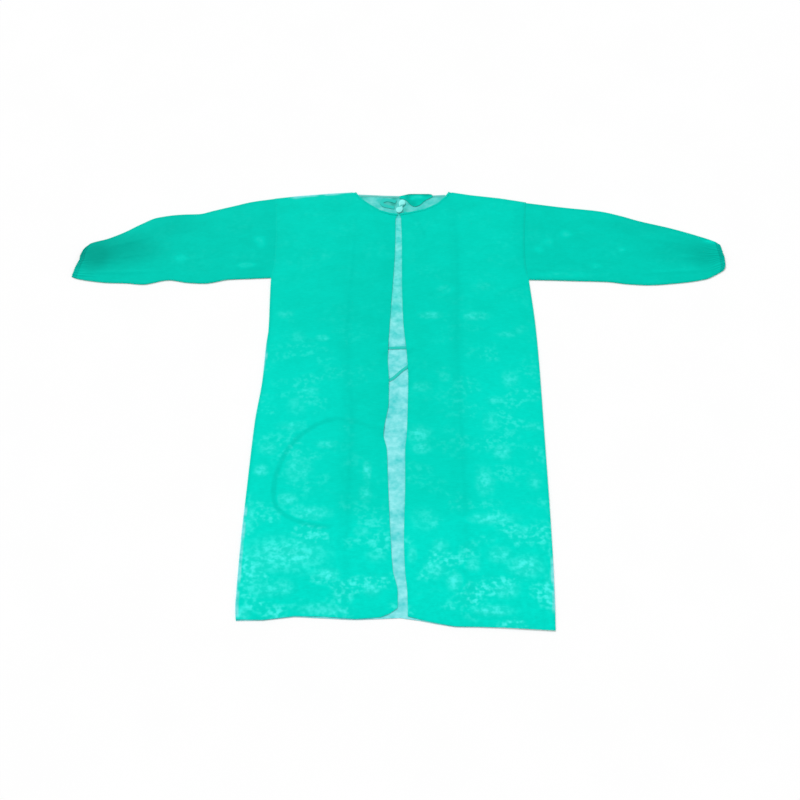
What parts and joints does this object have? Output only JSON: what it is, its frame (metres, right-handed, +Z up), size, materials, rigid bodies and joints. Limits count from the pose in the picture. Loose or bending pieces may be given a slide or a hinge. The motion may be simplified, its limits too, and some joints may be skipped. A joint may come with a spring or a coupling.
{
  "type": "visitor gown",
  "caption": "Disposable visitor gown of thin nonwoven cloth, laid flat with its tied back opening up and its gathered sleeves spread.",
  "frame": {"origin": "on the surface that the gown lies on, at the middle of its outline", "axes": "+X towards the right cuff as seen from above with the neck away, +Y from the hem to the neck, +Z up"},
  "size_m": [1.6902, 1.188, 0.0058],
  "materials": {
    "cloth": "spunbonded polypropylene, point bonded",
    "sleeve_cloth": "spunbonded polypropylene, point bonded",
    "cuff": "spunbonded polypropylene gathered by elastic thread",
    "binding": "folded strip of spunbonded polypropylene",
    "tie": "folded strip of spunbonded polypropylene"
  },
  "bodies": {
    "root": {"front_panel": "cloth", "left_back_panel": "cloth", "right_back_panel": "cloth", "left_sleeve": "sleeve_cloth", "right_sleeve": "sleeve_cloth", "left_cuff": "cuff", "right_cuff": "cuff", "front_neck_binding": "binding", "left_neck_binding": "binding", "right_neck_binding": "binding", "neck_knot": "tie", "left_neck_tie": "tie", "right_neck_tie": "tie", "neck_tie_end": "tie", "left_waist_tie": "tie", "right_waist_tie": "tie"}
  },
  "joints": []
}
